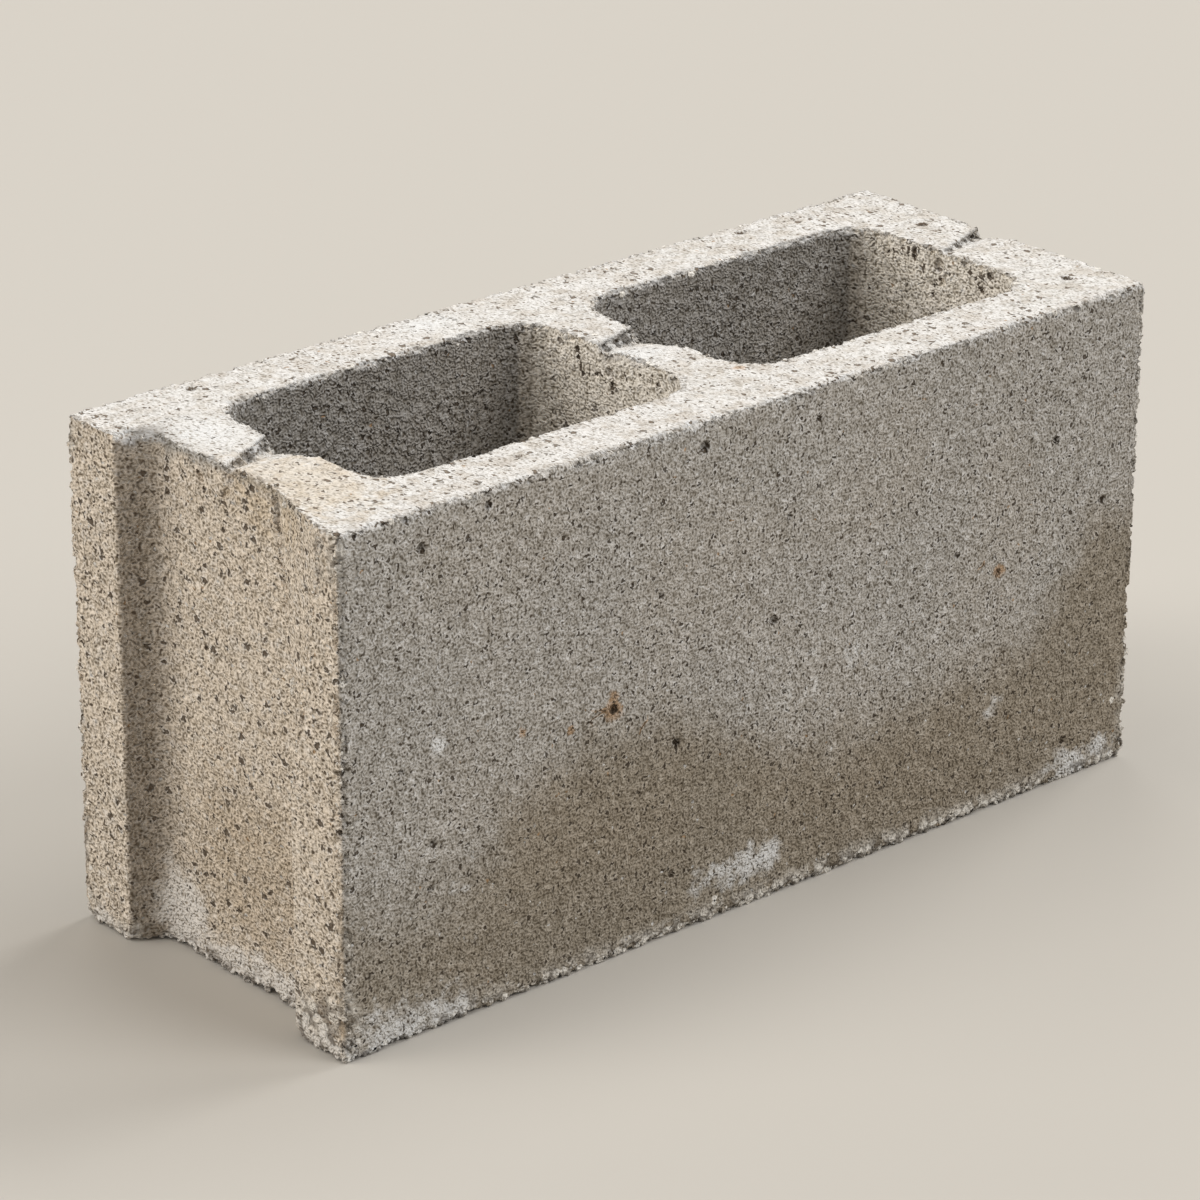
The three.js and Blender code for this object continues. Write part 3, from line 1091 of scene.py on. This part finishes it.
def broken_field(graph, normal, height):
    """1 on the steep faces of the trenches in the top, and 0 on sound concrete."""
    facing = graph.parts(normal)
    in_top = graph.product(
        graph.ease(facing["Y"], *BREAK_FACING[0]),
        graph.ease(facing["Z"], *BREAK_FACING[1]),
        graph.ramp(height, BREAK_Z),
    )
    inputs = {"Value": in_top, "Iterations": BREAK_BLUR}
    return graph.result("GeometryNodeBlurAttribute", inputs, data_type="FLOAT")


def weathering_tree():
    """Pushes a dense skin inwards: worn arrises, broken trench faces, waviness and dents."""
    graph, entry, end = geometry_group("weathered_skin", {
        **sockets("Object", "Arrises", "Bug Holes", "Spalls"),
        **sockets("Float", *WEATHERING),
    })
    position = position_of(graph)
    normal = normal_of(graph)
    height = graph.parts(position)["Z"]
    broken = broken_field(graph, normal, height)
    chunks = graph.cells(graph.bent(position, *BREAK_BEND), BREAK_CHUNK)["Color"]
    swell = graph.noise(position, SWELL_SIZE, detail=1.0)
    depth = graph.total(
        arris_wear(graph, entry, position, height),
        undercut(graph, entry, height),
        graph.product(broken, graph.parts(chunks)["X"], entry["Break Depth"]),
        graph.product(swell, entry["Swell Depth"]),
        dent_depth(graph, entry["Bug Holes"], graph.bent(position, *HOLE_BEND), HOLE_DEPTH),
        dent_depth(graph, entry["Spalls"], graph.bent(position, *SPALL_BEND), SPALL_DEPTH),
    )
    inward = graph.scaled(normal, graph.product(depth, -1.0))
    inputs = {"Geometry": entry["Geometry"], "Offset": inward}
    moved = graph.result("GeometryNodeSetPosition", inputs)
    return finish_group(graph, end, {"Geometry": stored_on(graph, moved, "broken", broken)})


def marked(rough, name, lines, holes):
    """The finished mesh of an object, with the marks stored on it, as a new object."""
    run_tree(rough, marks_tree(), {"Arrises": lines, "Bug Holes": holes})
    return link(name, settled(rough))


def casting(lines, holes, material):
    """The whole block, as one closed mesh."""
    spalls = dent_points("spalls", SPALLS)
    blank = link("blank", merged_copy("block"))
    skin = blank.modifiers.new("skin", "REMESH")
    skin.mode = "VOXEL"
    skin.voxel_size = SKIN_PITCH * MM
    depths = {name: length * MM for name, length in WEATHERING.items()}
    helpers = {"Arrises": lines, "Bug Holes": holes, "Spalls": spalls}
    run_tree(blank, weathering_tree(), {**helpers, **depths})
    dense = link("dense_block", settled(blank))
    thin = dense.modifiers.new("thin", "DECIMATE")
    dense.data.calc_loop_triangles()
    thin.ratio = min(1.0, SKIN_TRIANGLES / len(dense.data.loop_triangles))
    block = marked(dense, "cast_block", lines, holes)
    block.data.materials.clear()
    block.data.materials.append(material)
    block.data.shade_flat()
    discard(blank, dense, spalls)
    return block


# ------ the grit

def held_inside(graph):
    """Each point's position, held just inside the block's own box."""
    low, high = cad_bounds
    least = tuple(length + BOX_MARGIN * MM for length in low)
    most = tuple(length - BOX_MARGIN * MM for length in high)
    held_up = graph.vector_math("MAXIMUM", position_of(graph), least)
    return graph.vector_math("MINIMUM", held_up, most)


def stones_on(graph, points, radius, seed):
    """A squashed and turned stone on each point, with its tone stored on it."""
    shape = {"Radius": 1.0, "Subdivisions": 1}
    stone = graph.node("GeometryNodeMeshIcoSphere", shape).outputs["Mesh"]
    size = graph.product(graph.random_value("FLOAT", STONE_SIZE, seed), radius)
    squash = graph.random_value("FLOAT_VECTOR", STONE_SHAPE, seed)
    stones = graph.result("GeometryNodeInstanceOnPoints", {
        "Points": points,
        "Instance": stone,
        "Rotation": graph.random_value("FLOAT_VECTOR", STONE_TURN, seed),
        "Scale": graph.scaled(squash, size),
    })
    tone = graph.random_value("FLOAT", (0.0, 1.0), seed)
    toned = stored_on(graph, stones, "stone_tone", tone, domain="INSTANCE")
    return graph.result("GeometryNodeRealizeInstances", {"Geometry": toned})


def grit_tree(material):
    """Scatters small angular stones over the arrises of a skin, half sunk in it."""
    graph, entry, end = geometry_group("edge_grit", {
        **sockets("Object", "Arrises"),
        **sockets("Float", "Reach", "Per Area", "Share Above Foot", "Radius"),
        **sockets("Int", "Seed"),
    })
    seed = entry["Seed"]
    near = graph.ease(arris_distance(graph, entry["Arrises"]), entry["Reach"], 0.0)
    low_down = graph.ramp(graph.parts(position_of(graph))["Z"], GRIT_FOOT_Z)
    foot = graph.spread(low_down, entry["Share Above Foot"], 1.0)
    density = graph.product(near, foot, entry["Per Area"])
    inputs = {"Mesh": entry["Geometry"], "Density": density, "Seed": seed}
    settings = {"distribute_method": "RANDOM"}
    points = graph.result("GeometryNodeDistributePointsOnFaces", inputs, **settings)
    stones = stones_on(graph, points, entry["Radius"], seed)
    inputs = {"Geometry": stones, "Position": held_inside(graph)}
    kept = graph.result("GeometryNodeSetPosition", inputs)
    inputs = {"Geometry": kept, "Material": material}
    painted = graph.result("GeometryNodeSetMaterial", inputs)
    return finish_group(graph, end, {"Geometry": painted})


def grit(name, block, lines, holes, tree):
    """Stones that show along the worn arrises, as one mesh."""
    per_mm2, share_above_foot, radius, seed = GRIT[name]
    bed = link("grit_bed", block.data.copy())
    run_tree(bed, tree, {
        "Arrises": lines,
        "Reach": ARRIS_REACH * MM,
        "Per Area": per_mm2 / MM ** 2,
        "Share Above Foot": share_above_foot,
        "Radius": radius * MM,
        "Seed": seed,
    })
    loose = link("loose_stones", settled(bed))
    stones = marked(loose, name, lines, holes)
    discard(bed, loose)
    return stones


# ------ studio

def camera():
    """Looks along its azimuth and down by its elevation, and rolls a little."""
    data = bpy.data.cameras.new("camera")
    data.lens = CAMERA_LENS
    made = link("camera", data)
    made.matrix_world = (
        Matrix.Translation(Vector(CAMERA_PLACE) * MM)
        @ Matrix.Rotation(math.radians(CAMERA_AZIMUTH), 4, "Z")
        @ Matrix.Rotation(math.radians(90 - CAMERA_ELEVATION), 4, "X")
        @ Matrix.Rotation(math.radians(CAMERA_ROLL), 4, "Z")
    )
    bpy.context.scene.camera = made


def studio_floor():
    """A wide flat floor, which belongs to the stage and not to the block."""
    half = FLOOR_SIZE / 2 * MM
    level = -FLOOR_DROP * MM
    sides = ((-1, -1), (1, -1), (1, 1), (-1, 1))
    corners = [(x * half, y * half, level) for x, y in sides]
    mesh = bpy.data.meshes.new("floor")
    mesh.from_pydata(corners, [], [(0, 1, 2, 3)])
    mesh.materials.append(floor_material())
    link("floor", mesh)


def lamps():
    """Broad soft suns."""
    for name, (azimuth, elevation, softness, strength, colour) in LAMPS.items():
        data = bpy.data.lights.new(name, "SUN")
        data.angle = math.radians(softness)
        data.energy = strength
        data.color = colour
        lamp = link(name, data)
        lamp.rotation_euler = (0, math.radians(90 - elevation), math.radians(azimuth))


def sky():
    """Even light from all round; the camera sees the backdrop's colour instead."""
    world = bpy.data.worlds.new("studio")
    world.use_nodes = True
    graph = Graph(world.node_tree)
    graph.tree.nodes.clear()
    light, seen = (
        graph.result("ShaderNodeBackground", {"Color": opaque(colour), "Strength": strength})
        for colour, strength in ((SKY_COLOUR, SKY_STRENGTH), (BACKDROP_COLOUR, 1.0))
    )
    path = graph.node("ShaderNodeLightPath").outputs
    direct_rays = ("Is Camera Ray", "Is Glossy Ray", "Is Transmission Ray")
    direct = graph.largest(*(path[name] for name in direct_rays))
    mix = graph.result("ShaderNodeMixShader", {0: direct, 1: light, 2: seen})
    graph.node("ShaderNodeOutputWorld", {"Surface": mix})
    bpy.context.scene.world = world


# ------ scene

def build():
    """The stage, the block and its grit, and which node each piece goes with."""
    bpy.context.scene.view_settings.view_transform = "Standard"
    camera()
    studio_floor()
    lamps()
    sky()

    groups = {
        "grain": grain_group(),
        "pits": pits_group(),
        "colour": weathered_colour_group(),
    }
    concrete = concrete_material(groups)
    lines = arris_lines(merged_copy("block"))
    holes = dent_points("bug_holes", bug_holes())
    block = casting(lines, holes, concrete)
    tree = grit_tree(concrete)
    stones = [grit(name, block, lines, holes, tree) for name in GRIT]
    discard(lines, holes)

    for piece in (block, *stones):
        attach(piece, "root")
    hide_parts("block")


build()
